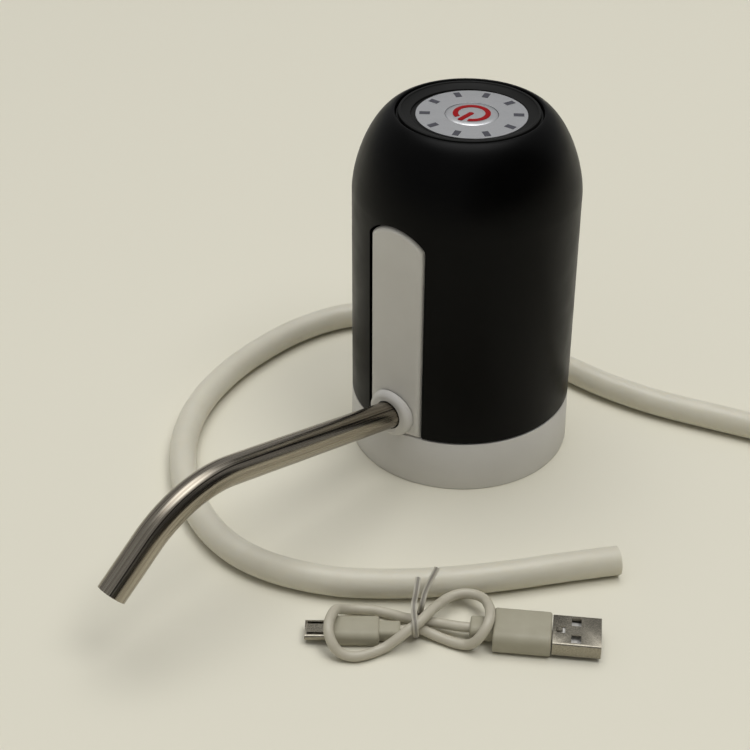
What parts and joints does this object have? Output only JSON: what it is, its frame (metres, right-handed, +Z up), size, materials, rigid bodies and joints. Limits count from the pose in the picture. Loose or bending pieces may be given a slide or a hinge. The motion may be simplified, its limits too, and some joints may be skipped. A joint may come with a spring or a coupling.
{
  "type": "bottled water pump",
  "caption": "Battery-driven pump that sits on a water bottle's neck: domed black body, white base ring and front strip, bent steel spout, with its hose and charging lead.",
  "frame": {"origin": "on the ground, at the middle of the rectangle that the pump and its spout cover", "axes": "+Z up, -Y the way the spout points, +X to the pump's left as seen from its front"},
  "size_m": [0.2539, 0.2185, 0.1136],
  "materials": {
    "black_housing": "moulded, soft gloss black",
    "satin_black": "satin black",
    "white_plastic": "moulded, satin white",
    "spout_steel": "polished stainless tube",
    "dial_silver": "fine satin silver",
    "clear_cover": "clear acrylic",
    "plain_steel": "plated, dull",
    "grey_plastic": "moulded grey",
    "grey_rubber": "matt",
    "silicone_tube": "translucent silicone",
    "circuit_board": "green solder mask",
    "cell_wrap": "shrink wrap",
    "copper_winding": "enamelled copper wire",
    "ferrite": "sintered, matt",
    "red_lead": "PVC insulation",
    "black_lead": "PVC insulation",
    "lead_cover": "soft PVC, satin",
    "clear_hose": "milky clear PVC",
    "wire_tie": "plastic-covered wire"
  },
  "bodies": {
    "root": {"base_ring": "white_plastic", "upper_housing": "black_housing", "front_panel": "white_plastic", "inlet_nipple": "white_plastic", "deck_screw_1": "plain_steel", "deck_screw_2": "plain_steel", "deck_screw_3": "plain_steel", "deck_screw_4": "plain_steel", "inner_chassis": "grey_plastic", "outlet_socket": "white_plastic", "o_ring_1": "grey_rubber", "o_ring_2": "grey_rubber", "pump_cover": "grey_plastic", "valve_plate": "grey_plastic", "diaphragm": "grey_rubber", "pump_frame": "grey_plastic", "wobble_plate": "grey_plastic", "motor_can": "plain_steel", "motor_end_cap": "satin_black", "motor_magnet_1": "ferrite", "motor_magnet_2": "ferrite", "pump_screw_1": "plain_steel", "pump_screw_2": "plain_steel", "pump_screw_3": "plain_steel", "inlet_tube": "silicone_tube", "outlet_tube": "silicone_tube", "battery_cell": "cell_wrap", "main_board": "circuit_board", "usb_socket": "plain_steel", "motor_lead_red": "red_lead", "motor_lead_black": "black_lead", "battery_lead_red": "red_lead", "battery_lead_black": "black_lead", "switch_ribbon": "lead_cover", "top_bezel": "satin_black", "dial_plate": "dial_silver", "switch_board": "circuit_board", "tact_switch": "satin_black", "icon_led": "white_plastic", "switch_screw_1": "plain_steel", "switch_screw_2": "plain_steel", "hose": "clear_hose", "usb_cable": "lead_cover", "twist_tie": "wire_tie", "usb_a_shell": "plain_steel", "usb_a_insert": "white_plastic", "usb_a_grip": "lead_cover", "micro_shell": "plain_steel", "micro_grip": "lead_cover"},
    "spout": {"spout": "spout_steel"},
    "button": {"power_button": "white_plastic", "button_lens": "clear_cover", "switch_plunger": "white_plastic"},
    "rotor": {"motor_shaft": "plain_steel", "motor_armature": "copper_winding", "eccentric_wheel": "grey_plastic"}
  },
  "joints": [
    {"name": "spout_swivel", "type": "hinge", "parent": "root", "child": "spout", "pos_m": [0, 0.02092, 0.02406], "axis": [0, -0.9648, 0.263], "continuous": true},
    {"name": "button_press", "type": "slide", "parent": "root", "child": "button", "axis": [0, 0, -1], "range_m": [0, 0.0007], "stiffness_N_per_m": 300},
    {"name": "motor_spin", "type": "hinge", "parent": "root", "child": "rotor", "pos_m": [0.006, 0.05792, 0.05], "axis": [0, 0, 1], "continuous": true}
  ]
}
